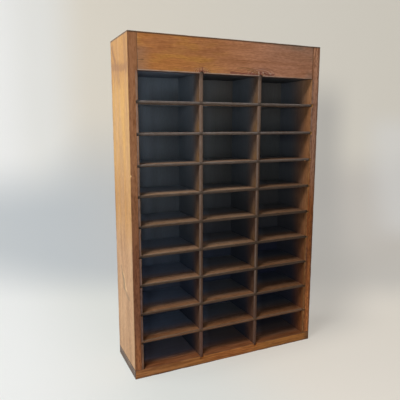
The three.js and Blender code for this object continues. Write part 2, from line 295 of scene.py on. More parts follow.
class Nodes:
    """Adds nodes to one shader or geometry tree."""

    def __init__(self, tree):
        self.tree = tree

    def add(self, kind, settings=None, sockets=None):
        """A node of this kind, with its settings made before its sockets are fed."""
        node = self.tree.nodes.new(kind)
        for name, value in (settings or {}).items():
            setattr(node, name, value)
        for name, value in (sockets or {}).items():
            named = (item for item in node.inputs if item.enabled and name in (item.identifier, item.name))
            self.feed(next(named), value)
        return node

    def feed(self, socket, value):
        """Links a value or an output to a socket, or sets a plain number on it."""
        if isinstance(value, Value):
            value = value.socket
        if isinstance(value, bpy.types.NodeSocket):
            self.tree.links.new(value, socket)
        elif socket.type == "RGBA":
            socket.default_value = (*value[:3], 1.0)
        else:
            socket.default_value = value

    def output(self, node, name):
        """The output of this name that the node's settings leave in use."""
        return next(socket for socket in node.outputs if socket.enabled and socket.name == name)

    def math(self, operation, *values):
        """The number that a Math node makes of these."""
        node = self.add("ShaderNodeMath", {"operation": operation})
        for socket, value in zip(node.inputs, values):
            self.feed(socket, value)
        return Value(self, node.outputs[0])

    def vector(self, x, y, z):
        """A vector with these parts."""
        return self.add("ShaderNodeCombineXYZ", sockets={"X": x, "Y": y, "Z": z}).outputs[0]

    def parts(self, vector):
        """The three numbers of a vector, by the letters of the axes."""
        split = self.add("ShaderNodeSeparateXYZ", sockets={"Vector": vector})
        return {axis: Value(self, split.outputs[axis]) for axis in "XYZ"}

    def place(self):
        """Where a shaded point is, by the letters of the axes."""
        return self.parts(self.add("ShaderNodeTexCoord").outputs["Object"])

    def noise(self, vector, detail=2.0, roughness=0.5):
        """Smooth noise from about 0 to 1, at the scale of the vector that it is given."""
        sockets = {"Vector": vector, "Scale": 1.0, "Detail": detail, "Roughness": roughness}
        return Value(self, self.add("ShaderNodeTexNoise", sockets=sockets).outputs["Fac"])

    def mix(self, factor, first, second, blend="MIX"):
        """A blend of two colours."""
        settings = {"data_type": "RGBA", "blend_type": blend}
        sockets = {"Factor_Float": factor, "A_Color": first, "B_Color": second}
        node = self.add("ShaderNodeMix", settings, sockets)
        return self.output(node, "Result")

    def graded(self, value, *stops):
        """A colour that passes through these stops as the value rises."""
        tint = stops[0][1]
        for (low, _), (high, following) in zip(stops, stops[1:]):
            tint = self.mix(value.rise(low, high), tint, following)
        return tint


def emptied(block):
    """The nodes of a material or a world, with none there yet."""
    block.use_nodes = True
    block.node_tree.nodes.clear()
    return Nodes(block.node_tree)


class Board:
    """Where a board lies, which way its grain runs, and how its copies step."""

    def __init__(self, node, grain, seed, step=None):
        self.node = node
        self.seed = seed
        self.low, self.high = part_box(node)
        self.grain = grain
        self.step = step
        draw = random.Random(seed)
        self.shift = [draw.uniform(-4, 4) for _ in range(3)]
        self.pith_side = draw.choice((-1, 1))


# Which axes run along, across and through a board, by its kind
GRAIN = {"upright": "ZYX", "back": "ZXY", "rail": "XZY", "level": "XYZ"}

# What the pale and the dark grain multiply a finish by
PALE_GRAIN = (1.18, 1.19, 1.22)
DARK_GRAIN = (0.62, 0.52, 0.42)

# What the painted cool light in the left column's lower holes multiplies their painted shade by
BLUE_LIGHT = (1.45, 1.60, 1.70)

# What the light at the left and the shade at the right of a column multiply its back by
BACK_LIGHT = (1.90, 2.00, 2.10)
BACK_SHADE = (0.64, 0.62, 0.60)

# What the shade under each shelf multiplies the uprights beside it by
UNDER_SHELF = (0.62, 0.64, 0.70)

# What the light past an upright and the shade in the far right corners multiply the level boards by
PAST_LIGHT = (1.90, 2.00, 2.10)
FAR_SHADE = (0.55, 0.62, 0.80)

# By upright: how far right the light past it moves for each metre of depth, and how strong it is
PAST_SLOPES = ((0.30, 0.6), (0.46, 1.0), (0.62, 0.9))

# What the bottom board is multiplied by deep in the holes
BASE_WARMTH = (1.10, 0.82, 0.70)


class Wood:
    """Aged softwood with growth rings, fibres, stain and worn edges, in a board's own axes.

    The pith is how far beside the board the tree's middle lies, the ring is the width of a growth ring,
    and the pace is how quickly the fibres change along the grain. Places given to rise and fall are
    metres in the frame of the case, and the amounts of tints and marks are shares from 0 to 1.
    """

    def __init__(self, name, board, tint, pith=0.09, ring=0.0042, contrast=1.0, knots=(), pace=1.0):
        self.material = bpy.data.materials.new(name)
        self.nodes = emptied(self.material)
        self.board = board
        self.tint = tint
        self.contrast = contrast
        self.pace = pace
        self.read_place()
        self.bend(knots)
        self.grow(pith, ring)

    def read_place(self):
        """Where a point is in the case, in the first board of its row, and along the grain."""
        self.case = self.nodes.place()
        self.at = dict(self.case)
        shift = list(self.board.shift)
        if self.board.step is not None:
            settings = {"attribute_type": "GEOMETRY", "attribute_name": "board_number"}
            attribute = self.nodes.add("ShaderNodeAttribute", settings)
            number = Value(self.nodes, attribute.outputs["Fac"])
            for axis, step in zip("XYZ", self.board.step):
                if step:
                    self.at[axis] = self.at[axis] - number * step
            shift = [number * 1.37 + amount for amount in shift]
        order = GRAIN[self.board.grain]
        moved = (self.at[axis] + amount for axis, amount in zip(order, shift))
        self.along, self.across, self.through = moved
        spans = zip("XYZ", self.board.low, self.board.high)
        self.gap = {axis: (self.at[axis] - low).least(high - self.at[axis]) for axis, low, high in spans}
        x, y, z = self.gap.values()
        self.arris = x.least(y).most(x.most(y).least(z))

    def stretched(self, along, across, detail=2.0, roughness=0.5):
        """Noise drawn out along the grain, at so many waves a metre each way."""
        vector = self.nodes.vector(self.along * along, self.across * across, self.through * across)
        return self.nodes.noise(vector, detail, roughness)

    def bend(self, knots):
        """Lets the grain wander, and swell round the board's knots."""
        order = GRAIN[self.board.grain]
        self.wander = (self.stretched(5, 9, 3) - 0.5) * 0.020 + (self.stretched(26, 40, 2) - 0.5) * 0.004
        self.knot = 0.0
        self.from_knots = []
        for along, cross, size in knots:
            far_along = (self.at[order[0]] - along) / (size * 2.2)
            far_cross = (self.at[order[1]] - cross) / size
            far = away(far_along, far_cross)
            self.wander = self.wander - far.fall(0.0, 3.0) * size * 0.9
            self.knot = far.fall(0.3, 2.4) + self.knot
            self.from_knots.append(far)
        self.across = self.across + self.wander

    def grow(self, pith, ring):
        """Growth rings round a pith beside the board, and finer lines that follow them."""
        order = GRAIN[self.board.grain]
        middle = (self.board.low + self.board.high) / 2
        across = self.at[order[1]] + self.wander
        across = across - (middle["XYZ".index(order[1])] + self.board.pith_side * pith)
        through = self.at[order[2]] - (middle["XYZ".index(order[2])] + 0.45 * pith)
        phase = (away(across, through) / ring + self.stretched(3, 20, 2) * 2.0).fraction()
        late = phase.rise(0.25, 0.82) * phase.fall(0.9, 1.0)
        self.fleck = self.stretched(95 * self.pace, 330, 2)
        self.fibre = self.stretched(34 * self.pace, 430, 3, 0.6)
        self.vein = self.stretched(11 * self.pace, 170, 3, 0.6)
        self.streak = self.stretched(2.6, 40, 3)
        self.cloud = self.stretched(7, 17, 3)
        fine = (self.fleck - 0.5) * 1.7 + (self.fibre - 0.5) * 1.1 + (self.vein - 0.5) * 1.4
        broad = (self.streak - 0.5) * 1.1 + (self.cloud - 0.5) * 0.4
        self.figure = late * (0.2 + self.knot * 0.45) + fine + broad
        self.rough = 0.44 + (self.fibre - 0.5) * 0.25 + (self.cloud - 0.5) * 0.2
        self.height = self.fibre * 0.5 + self.vein * 0.3 + late * 0.3

    def blend(self, factor, tint):
        """Mixes a tint over the wood where the factor says."""
        self.tint = self.nodes.mix(factor, self.tint, tint)

    def up_row(self):
        """How far up a row of holes a point is, from 0 to 1."""
        return ((self.case["Z"] - base_top) / even_step(numbered("shelf_")).z).fraction()

    def multiply(self, factor, amounts):
        """Lightens or darkens the wood by these amounts where the factor says."""
        self.tint = self.nodes.mix(factor, self.tint, amounts, "MULTIPLY")

    def mottle(self, along, across, tint, amount, low=0.46, high=0.62):
        """Mixes a tint over the wood in patches of so many waves a metre each way."""
        self.blend(self.stretched(along, across, 3).rise(low, high) * amount, tint)

    def wear(self, tint, reach, amount):
        """Rubbed edges, wider where the noise says."""
        rub = self.arris.fall(0.0, self.stretched(14, 60, 2) * reach)
        self.blend(rub * amount, tint)
        self.rough = self.rough + rub * 0.12

    def deepen(self, finish, near, far, where=1.0, sink=0.9):
        """Painted shade over dusty wood some way behind the front, blacker to the right and lower down."""
        x, z = self.case["X"], self.case["Z"]
        black = x.rise(-0.20, 0.16) * 0.45 + z.fall(0.18, 0.72) * sink
        tint = self.nodes.mix(black, finish.dust_and_shade, finish.dark_shade)
        tint = self.nodes.mix(z.fall(0.14, 0.42) * 0.75, tint, finish.pitch)
        blue = x.fall(-0.080, -0.070) * z.rise(0.10, 0.20) * z.fall(0.25, 0.37)
        tint = self.nodes.mix(blue, tint, BLUE_LIGHT, "MULTIPLY")
        self.shade(tint, near, far, where)

    def settle(self, finish, near, far, where=1.0):
        """Painted shade on dusty wood behind the front of a level board, and painted light past each
        upright.
        """
        x, z = self.case["X"], self.case["Z"]
        left = self.nodes.mix(z.fall(0.14, 0.56), finish.shelf_dust_and_shade, finish.shelf_shade)
        later = x.rise(-0.14, 0.06) * 0.008 + z.rise(0.10, 0.22) * z.fall(0.34, 0.46) * 0.007
        tint = self.nodes.mix(x.rise(-0.20, 0.10), left, finish.shelf_dark_shade)
        self.shade(tint, later + near, later + far, where)
        depth = self.case["Y"] - front_plane
        far_right = depth.rise(0.070, 0.100) * x.rise(0.08, 0.13) * z.fall(0.26, 0.34)
        self.multiply(far_right * where, FAR_SHADE)
        for upright, (slope, amount) in zip(upright_faces, PAST_SLOPES):
            past = x - depth * slope - upright
            light = past.rise(-0.012, 0.0) * past.fall(0.000, 0.020) * depth.rise(0.010, 0.034)
            self.multiply(light * where * amount, PAST_LIGHT)

    def shade(self, tint, near, far, where):
        """Goes over to a tint between two depths, where the grain fades too."""
        depth = self.case["Y"] - front_plane + (self.cloud - 0.5) * 0.012
        share = depth.rise(near, far) * where
        self.blend(share * 0.95, tint)
        self.contrast = (1 - share * 0.8) * self.contrast

    def line_edges(self, tint, width, amount):
        """A fine dark line of soiling along the edges."""
        self.blend(self.arris.fall(0.0, width) * amount, tint)

    def stroke(self, axes, places, half_width, tint, amount):
        """A mark along a bent line on one face, with ragged edges."""
        distance = None
        for start, end in zip(places, places[1:]):
            run = [b - a for a, b in zip(start, end)]
            square = run[0] ** 2 + run[1] ** 2
            there = [self.at[axis] - place for axis, place in zip(axes, start)]
            share = ((there[0] * run[0] + there[1] * run[1]) / square).most(0).least(1)
            off = [far - share * step for far, step in zip(there, run)]
            distance = away(*off) if distance is None else distance.least(away(*off))
        ragged = distance + (self.stretched(60, 200, 2) - 0.5) * half_width * 1.6
        self.blend(ragged.fall(half_width * 0.3, half_width) * amount, tint)

    def chipped(self, place, reach, tint):
        """Bare wood where a chip is knocked out of an edge."""
        off = [self.case[axis] - part for axis, part in zip("XYZ", place)]
        self.blend(away(*off).fall(reach * 0.45, reach * 0.8) * 0.8, tint)

    def done(self, coat=0.05):
        """The finished material."""
        nodes = self.nodes
        shade = (0.38 + (self.figure - 0.06) * self.contrast).most(0).least(1)
        grain = nodes.mix(shade, PALE_GRAIN, DARK_GRAIN)
        relief = {"Strength": 0.35, "Distance": 0.0004, "Height": self.height}
        bump = nodes.add("ShaderNodeBump", sockets=relief)
        shader = nodes.add(
            "ShaderNodeBsdfPrincipled",
            sockets={
                "Base Color": nodes.mix(1.0, self.tint, grain, "MULTIPLY"),
                "Roughness": self.rough.most(0.2).least(0.9),
                "Normal": bump.outputs["Normal"],
                "Specular IOR Level": 0.2,
                "Coat Weight": coat,
                "Coat Roughness": 0.38,
            },
        )
        nodes.add("ShaderNodeOutputMaterial", sockets={"Surface": shader.outputs[0]})
        return self.material


def solid_copy(node):
    """A node's solid as one merged mesh, with its flat faces whole again."""
    solid = bmesh.new()
    solid.from_mesh(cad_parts[node].data)
    bmesh.ops.remove_doubles(solid, verts=solid.verts, dist=1e-6)
    bmesh.ops.dissolve_limit(solid, angle_limit=math.radians(1), verts=solid.verts, edges=solid.edges)
    return solid


def ease(solid, width, shortest=0.004):
    """Rounds every long sharp edge."""
    sharp = [
        edge
        for edge in solid.edges
        if edge.is_manifold and edge.calc_face_angle(0) > 0.5 and edge.calc_length() > shortest
    ]
    bmesh.ops.bevel(
        solid, geom=sharp, offset=width, segments=2, profile=0.5, affect="EDGES", clamp_overlap=True
    )


def cut_across(solid, axis, places):
    """Cuts the whole mesh by planes square to an axis."""
    normal = Vector((0, 0, 0))
    normal[axis] = 1
    for place in places:
        geometry = solid.verts[:] + solid.edges[:] + solid.faces[:]
        bmesh.ops.bisect_plane(solid, geom=geometry, dist=1e-5, plane_co=normal * place, plane_no=normal)


def steps(low, high, step):
    """Places between two ends, about a step apart, without the ends."""
    count = max(1, round((high - low) / step))
    return [low + (high - low) * i / count for i in range(1, count)]


def wear_edges(solid, board, depth):
    """Bites into the outer edges of a board by an amount that wanders along them."""
    reach = bpy.context.scene.sorter_sizes.wear_reach
    offset = Vector((board.seed * 3.7, board.seed * 1.3, board.seed * 7.1))
    for vert in solid.verts:
        gaps = []
        for axis in range(3):
            below, above = vert.co[axis] - board.low[axis], board.high[axis] - vert.co[axis]
            gaps.append((below, axis, 1) if below < above else (above, axis, -1))
        gaps.sort()
        if gaps[1][0] > reach * 0.9:
            continue
        wander = noise.noise(vert.co * 38 + offset) + 0.5 * noise.noise(vert.co * 130 + offset)
        bite = depth * max(0.0, wander + 0.15) * (1 - gaps[1][0] / reach)
        for _, axis, inward in gaps[:2]:
            vert.co[axis] += inward * bite


def prepare(board, arris, slice_step, chips):
    """A board's solid with rounded edges, cut so that wear stays near its edges."""
    sizes = bpy.context.scene.sorter_sizes
    solid = solid_copy(board.node)
    ease(solid, arris)
    along, *across = ("XYZ".index(letter) for letter in GRAIN[board.grain])
    places = steps(board.low[along], board.high[along], slice_step)
    for chip in chips:
        places += [chip[along] + sizes.chip_reach * share for share in (-1, -0.6, -0.2, 0.2, 0.6, 1)]
    cut_across(solid, along, [place for place in places if board.low[along] < place < board.high[along]])
    for axis in across:
        cut_across(solid, axis, [board.low[axis] + sizes.wear_reach, board.high[axis] - sizes.wear_reach])
    return solid


def chip_off(verts, board, place):
    """Knocks a chip out of an edge that runs along the grain."""
    sizes = bpy.context.scene.sorter_sizes
    along = "XYZ".index(GRAIN[board.grain][0])
    middle = (board.low + board.high) / 2
    for vert in verts:
        near = 1 - (vert.co - place).length / sizes.chip_reach
        if near <= 0:
            continue
        for axis in range(3):
            if axis != along:
                vert.co[axis] += math.copysign(sizes.chip_depth * near, middle[axis] - place[axis])


def mesh_of(name, solid, material):
    """A plain mesh from a worked solid, smooth only where its edges are rounded."""
    bmesh.ops.triangulate(solid, faces=[face for face in solid.faces if len(face.verts) > 4])
    solid.normal_update()
    for face in solid.faces:
        face.smooth = max(abs(part) for part in face.normal) < 0.995
    mesh = bpy.data.meshes.new(name)
    solid.to_mesh(mesh)
    solid.free()
    mesh.materials.append(material)
    return mesh


def put(name, mesh, nodes):
    """Makes a finished piece of a mesh, in place of the CAD nodes that it stands for."""
    piece = bpy.data.objects.new(name, mesh)
    bpy.context.scene.collection.objects.link(piece)
    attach(piece, BODY)
    if nodes:
        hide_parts(*nodes)


def dressed_board(board, arris, material, scribe=None, chips=()):
    """A board with rounded, worn and chipped edges, in place of its CAD node."""
    sizes = bpy.context.scene.sorter_sizes
    solid = prepare(board, arris, sizes.case_slice, chips)
    if scribe:
        scribe(solid)
    wear_edges(solid, board, sizes.wear_depth)
    for place in chips:
        chip_off(solid.verts, board, place)
    name = board.node + "_wood"
    put(name, mesh_of(name, solid, material), [board.node])


def grown(holder, made, values, name):
    """A plain mesh of what a tree makes of an object, with the object itself taken away."""
    tree, sockets = made
    bpy.context.scene.collection.objects.link(holder)
    modifier = holder.modifiers.new("Tree", "NODES")
    modifier.node_group = tree
    for label, value in values.items():
        modifier[sockets[label]] = value
    bpy.context.view_layer.update()
    graph = bpy.context.evaluated_depsgraph_get()
    mesh = bpy.data.meshes.new_from_object(holder.evaluated_get(graph), depsgraph=graph)
    mesh.name = name
    holder.modifiers.clear()
    bpy.data.objects.remove(holder)
    return mesh


def repeated(name, solid, material, count, step):
    """A plain mesh of like boards, made by a tree that copies the first and lets their edges wander."""
    first = bpy.data.objects.new(name + "_first", mesh_of(name + "_first", solid, material))
    waver = bpy.context.scene.sorter_sizes.grid_waver
    values = {"Count": count, "Step": step, "Waver": waver, "Front": front_plane, "Material": material}
    return grown(first, row_tree(), values, name)


def new_tree(name, inputs):
    """An empty geometry tree with named inputs, its input node and the inputs' identifiers."""
    tree = bpy.data.node_groups.new(name, "GeometryNodeTree")
    tree.interface.new_socket(name="Geometry", in_out="INPUT", socket_type="NodeSocketGeometry")
    tree.interface.new_socket(name="Geometry", in_out="OUTPUT", socket_type="NodeSocketGeometry")
    made = {}
    for label, kind in inputs.items():
        socket = tree.interface.new_socket(name=label, in_out="INPUT", socket_type="NodeSocket" + kind)
        made[label] = socket.identifier
    return Nodes(tree), made


def paint(nodes, geometry, given):
    """Ends a tree by setting its material on what it made."""
    sockets = {"Geometry": geometry, "Material": given["Material"]}
    painted = nodes.add("GeometryNodeSetMaterial", sockets=sockets)
    nodes.add("NodeGroupOutput", sockets={"Geometry": painted.outputs["Geometry"]})


def row_tree():
    """The tree that repeats a board in even steps, numbers the copies and waves their front edges."""
    inputs = {"Count": "Int", "Step": "Vector", "Waver": "Float", "Front": "Float", "Material": "Material"}
    nodes, identifiers = new_tree("row_of_boards", inputs)
    given = nodes.add("NodeGroupInput").outputs
    spacing = {"Count": given["Count"], "Offset": given["Step"]}
    line = nodes.add("GeometryNodeMeshLine", {"mode": "OFFSET"}, spacing)
    copies = nodes.add(
        "GeometryNodeInstanceOnPoints",
        sockets={"Points": line.outputs["Mesh"], "Instance": given["Geometry"]},
    )
    index = nodes.add("GeometryNodeInputIndex").outputs["Index"]
    marked = nodes.add(
        "GeometryNodeStoreNamedAttribute",
        {"data_type": "FLOAT", "domain": "INSTANCE"},
        {"Geometry": copies.outputs["Instances"], "Name": "board_number", "Value": index},
    )
    real = nodes.add("GeometryNodeRealizeInstances", sockets={"Geometry": marked.outputs["Geometry"]})
    x, y, z = nodes.parts(nodes.add("GeometryNodeInputPosition").outputs["Position"]).values()
    mark = nodes.add("GeometryNodeInputNamedAttribute", {"data_type": "FLOAT"}, {"Name": "board_number"})
    number = Value(nodes, mark.outputs["Attribute"])
    wave = nodes.noise(nodes.vector(x * 9 + number * 2.3, number * 5.1, z * 9), 3) - 0.5
    near = (y - Value(nodes, given["Front"])).fall(0.006, 0.030)
    shift = wave * near * Value(nodes, given["Waver"])
    inward = nodes.vector(0.0, shift.most(0.0) * 2, 0.0)
    moved = nodes.add(
        "GeometryNodeSetPosition", sockets={"Geometry": real.outputs["Geometry"], "Offset": inward}
    )
    paint(nodes, moved.outputs["Geometry"], given)
    return nodes.tree, identifiers


def stand_on_points(nodes, given, shape):
    """Stands a shape on each point along the point's own way, turned by chance, and paints it."""
    way = nodes.add("GeometryNodeInputNamedAttribute", {"data_type": "FLOAT_VECTOR"}, {"Name": "way"})
    heading = {"Vector": nodes.output(way, "Attribute")}
    turn = nodes.add("FunctionNodeAlignRotationToVector", {"axis": "Z"}, heading)
    spin = nodes.add(
        "FunctionNodeRandomValue",
        {"data_type": "FLOAT"},
        {"Min_001": 0.0, "Max_001": 2 * math.pi, "Seed": given["Seed"]},
    )
    upright = {"Axis": (0, 0, 1), "Angle": nodes.output(spin, "Value")}
    about = nodes.add("FunctionNodeAxisAngleToRotation", sockets=upright)
    turned = nodes.add(
        "FunctionNodeRotateRotation",
        {"rotation_space": "LOCAL"},
        {"Rotation": turn.outputs["Rotation"], "Rotate By": about.outputs["Rotation"]},
    )
    copies = nodes.add(
        "GeometryNodeInstanceOnPoints",
        sockets={"Points": given["Geometry"], "Instance": shape, "Rotation": turned.outputs["Rotation"]},
    )
    real = nodes.add("GeometryNodeRealizeInstances", sockets={"Geometry": copies.outputs["Instances"]})
    paint(nodes, real.outputs["Geometry"], given)


def cone(nodes, vertices, segments, top, bottom, depth):
    """The mesh of a round bar, whose ends may differ in radius."""
    sockets = {
        "Vertices": vertices, "Side Segments": segments, "Radius Top": top, "Radius Bottom": bottom,
        "Depth": depth,
    }
    return nodes.add("GeometryNodeMeshCone", sockets=sockets).outputs["Mesh"]


def nail_tree():
    """The tree that drives a nail at each point."""
    inputs = {
        "Head": "Float", "Shank": "Float", "Head thickness": "Float", "Length": "Float",
        "Seed": "Int", "Material": "Material",
    }
    nodes, identifiers = new_tree("driven_nails", inputs)
    given = nodes.add("NodeGroupInput").outputs
    head_radius = Value(nodes, given["Head"]) * 0.5
    shank_radius = Value(nodes, given["Shank"]) * 0.5
    head_depth = Value(nodes, given["Head thickness"])
    shank_depth = Value(nodes, given["Length"]) - head_depth
    head = cone(nodes, 20, 2, head_radius, head_radius * 0.96, head_depth)
    shank = cone(nodes, 12, 3, shank_radius * 0.25, shank_radius, shank_depth)
    under_head = {"Geometry": shank, "Translation": nodes.vector(0.0, 0.0, head_depth)}
    below = nodes.add("GeometryNodeTransform", sockets=under_head)
    whole = nodes.add("GeometryNodeJoinGeometry", sockets={"Geometry": head})
    nodes.feed(whole.inputs[0], below.outputs["Geometry"])
    stand_on_points(nodes, given, whole.outputs["Geometry"])
    return nodes.tree, identifiers


def stopping_tree():
    """The tree that fills the hole over a nail with a disc."""
    inputs = {"Radius": "Float", "Depth": "Float", "Seed": "Int", "Material": "Material"}
    nodes, identifiers = new_tree("nail_stopping", inputs)
    given = nodes.add("NodeGroupInput").outputs
    radius = Value(nodes, given["Radius"]) * 0.97
    stand_on_points(nodes, given, cone(nodes, 20, 1, radius, radius, given["Depth"]))
    return nodes.tree, identifiers


def nail_place(node):
    """The middle of a nail's head and the way it was driven, from its box in the case."""
    low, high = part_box(node)
    spans = high - low
    axis = max(range(3), key=lambda i: spans[i])
    middle = (low + high) / 2
    way = Vector((0, 0, 0))
    # A nail's head is at the end that lies nearer the outside of the case.
    outside_low = abs(low[axis] - cad_low[axis]) < abs(high[axis] - cad_high[axis])
    way[axis] = 1 if outside_low else -1
    middle[axis] = low[axis] if outside_low else high[axis]
    return middle, way, spans[axis]


def stood_on_points(name, places, made, values):
    """A plain mesh of what a tree stands on these places."""
    points = bpy.data.meshes.new(name + "_points")
    points.from_pydata([place for place, _ in places], [], [])
    ways = points.attributes.new("way", "FLOAT_VECTOR", "POINT")
    for i, (_, way) in enumerate(places):
        ways.data[i].vector = way
    return grown(bpy.data.objects.new(name + "_points", points), made, values, name)


def nails(name, nodes, head, shank, material):
    """All the nails of one kind as one mesh."""
    sizes = bpy.context.scene.sorter_sizes
    heads = [nail_place(node) for node in nodes]
    values = {
        "Head": head, "Shank": shank, "Head thickness": sizes.head_thickness, "Length": heads[0][2],
        "Seed": sizes.nail_seed, "Material": material,
    }
    mesh = stood_on_points(name, [(place, way) for place, way, _ in heads], nail_tree(), values)
    put(name, mesh, nodes)


# Height of the chip that is knocked out of the left side's front edge
CHIP_HEIGHT = 0.484


class SORTER_OT_sides(bpy.types.Operator):
    """Dress both sides, with the line that was scribed down their front edges"""

    bl_idname = "sorter.sides"
    bl_label = "Sides"

    def execute(self, context):
        finish, sizes = context.scene.sorter_finish, context.scene.sorter_sizes
        for seed, (node, hand) in enumerate((("left_side", -1), ("right_side", 1)), start=11):
            board = Board(node, "upright", seed)
            chips = [Vector((cad_low.x, front_plane, CHIP_HEIGHT))] if hand < 0 else []
            wood = Wood(node + "_wood", board, finish.side_gold, pith=0.16)
            self.age_face(wood, finish)
            if hand < 0:
                self.mark_face(wood, finish)
            self.age_front(wood, hand, finish, sizes)
            self.age_edges(wood, finish)
            for place in chips:
                wood.chipped(place, sizes.chip_reach, finish.bare_wood)
            material = wood.done(coat=0.08)
            scribe = partial(self.scribe, hand=hand, sizes=sizes)
            dressed_board(board, sizes.case_arris, material, scribe, chips)
            self.stop(node, hand, material, sizes)
        return {"FINISHED"}

    def age_face(self, wood, finish):
        """Bands of tone down the broad face."""
        z = wood.at["Z"]
        wood.tint = wood.nodes.graded(
            z, (0.06, finish.side_pink), (0.28, finish.side_pink), (0.40, finish.side_tan),
            (0.58, finish.side_gold), (0.66, finish.side_gold), (0.72, finish.side_head),
        )
        wood.mottle(6, 30, finish.side_stain, 0.25)
        wood.mottle(1.6, 46, finish.side_pink, 0.55, 0.48, 0.60)
        head = z.rise(0.66, 0.70)
        wood.blend(head * wood.stretched(16, 34, 3).rise(0.46, 0.62) * 0.55, finish.side_stain)

    def mark_face(self, wood, finish):
        """Smudges near the head of the left side, and the scuff low on it with its bright graze."""
        smudge = ((0.060, 0.772), (0.050, 0.757), (0.034, 0.737), (0.030, 0.726))
        rubbed_and_highlit = ((0.060, 0.730), (0.000, 0.722), (-0.058, 0.717))
        tick = ((-0.044, 0.740), (-0.043, 0.727))
        scuff = (
            (0.0306, 0.2476), (0.0216, 0.2343), (0.0073, 0.2183), (0.0090, 0.2024),
            (-0.0153, 0.1904), (-0.0326, 0.1865),
        )
        graze = ((0.0163, 0.2395), (0.0025, 0.2293), (-0.0060, 0.2051), (-0.0173, 0.2012))
        for places, half_width, tint, amount in (
            (smudge, 0.010, finish.side_stain, 0.95),
            (rubbed_and_highlit, 0.012, finish.side_stain, 0.7),
            (tick, 0.003, finish.side_stain, 0.5),
            (scuff, 0.0085, finish.scuff_brown, 0.50),
            (scuff[1:4], 0.0105, finish.scuff_brown, 0.65),
            (graze, 0.0048, finish.bare_wood, 0.8),
        ):
            wood.stroke("YZ", places, half_width, tint, amount)

    def age_front(self, wood, hand, finish, sizes):
        """Varnish on the front edge, and the worn strip between its scribed line and the holes."""
        x, y, z = wood.at.values()
        inset = x * hand - inner_face
        facing = y.fall(front_plane + 0.0006, front_plane + 0.0014)
        under_rail = z.fall(rail_foot - 0.002, rail_foot)
        varnish, strip_tint = self.front_tints(wood, hand, finish)
        streaks = 0.5 - z.rise(0.64, 0.72) * 0.5 if hand < 0 else 1.6
        wood.contrast = 0.65 + z.fall(0.10, 0.60) * 0.35 + facing * streaks
        self.age_inside(wood, inset.fall(0.0008, 0.0016), finish)
        beside = y.fall(front_plane + 0.0025, front_plane + 0.0060) * z.fall(0.36, 0.62)
        wood.blend(beside * 0.75, finish.side_stain)
        wood.blend(facing, varnish)
        # Painted shade along the outer border of each front edge, by its arris
        painted_shade = 0.25 if hand < 0 else 0.5
        wood.blend(facing * inset.rise(0.0150, 0.0195) * painted_shade, finish.grime_and_shade)
        strip = inset.fall(sizes.scribe_inset - 0.0006, sizes.scribe_inset) * under_rail * facing
        wood.blend(strip, strip_tint)
        bare = 0.4 + z.fall(0.085, 0.095) * 0.4 - z.fall(0.26, 0.32) * 0.2
        wood.blend(strip * inset.fall(0.0003, 0.0016) * bare, finish.bare_wood)
        if hand > 0:
            self.mark_front(wood, facing, finish)
        groove = (inset - sizes.scribe_inset).size().fall(0.0002, 0.0007) * under_rail * facing
        wood.blend(groove * z.fall(0.35, 0.62) * 0.8, finish.grime_and_shade)

    def front_tints(self, wood, hand, finish):
        """The colours of a front edge and of its worn strip, by height."""
        z, graded = wood.at["Z"], wood.nodes.graded
        if hand < 0:
            varnish = graded(
                z, (0.06, finish.edge_foot), (0.13, finish.edge_dark), (0.24, finish.edge_dark),
                (0.52, finish.edge_light),
            )
            strip = graded(
                z, (0.05, finish.strip_foot), (0.12, finish.strip_low), (0.20, finish.strip_low),
                (0.62, finish.strip_high),
            )
        else:
            varnish = graded(
                z, (0.10, finish.edge_orange), (0.29, finish.edge_red), (0.36, finish.edge_red),
                (0.50, finish.edge_brown), (0.64, finish.edge_brown), (0.74, finish.edge_rose),
            )
            strip = graded(
                z, (0.18, finish.strip_amber), (0.23, finish.edge_dark), (0.25, finish.edge_dark),
                (0.32, finish.strip_orange), (0.38, finish.strip_orange),
                (0.46, finish.strip_tan), (0.58, finish.strip_mauve),
            )
        return varnish, strip

    def age_inside(self, wood, inside, finish):
        """The inner face, with painted shade deep in the holes and under each shelf."""
        z = wood.at["Z"]
        tint = wood.nodes.graded(
            z, (0.06, finish.inner_foot), (0.18, finish.inner_low), (0.44, finish.inner_middle),
            (0.62, finish.inner_middle), (0.69, finish.inner_high),
        )
        wood.blend(inside, tint)
        fading = 0.066 + z.rise(0.27, 0.42) * 0.024 + z.rise(0.52, 0.66) * 0.016
        wood.deepen(finish, 0.006, fading, inside, 0.65)
        under = wood.up_row().rise(0.45, 0.80) * z.rise(0.16, 0.24) * z.fall(0.56, 0.64)
        wood.multiply(inside * under, UNDER_SHELF)

    def mark_front(self, wood, facing, finish):
        """The broken housing of the lowest shelf in the right side, and soiling at that side's foot."""
        broken = ((inner_face, 0.0880), (inner_face + 0.0046, 0.0885))
        wood.stroke("XZ", broken, 0.0046, finish.grime_and_shade, facing * 0.9)
        bruise = ((inner_face, 0.0930), (inner_face + 0.0050, 0.0925))
        wood.stroke("XZ", bruise, 0.0012, finish.bare_wood, facing * 0.5)
        foot = wood.at["Z"].fall(base_top + 0.0006, base_top + 0.0030)
        wood.blend(facing * foot * 0.5, finish.grime_and_shade)

    def age_edges(self, wood, finish):
        """Rubbed and dirty edges, with a dark line painted along the top as its shade."""
        y, z = wood.at["Y"], wood.at["Z"]
        wood.wear(finish.side_stain, 0.006, 0.5)
        behind = y.rise(cad_high.y - 0.0030, cad_high.y - 0.0008)
        wood.blend(behind * (0.35 + wood.stretched(30, 60, 2) * 0.5), finish.grime_and_shade)
        # A dark line along the top, painted as the shade of the upper edge
        wood.blend(z.rise(cad_high.z - 0.0046, cad_high.z - 0.0020) * 0.75, finish.grime_and_shade)
        wood.line_edges(finish.grime_and_shade, 0.0010, 0.4)

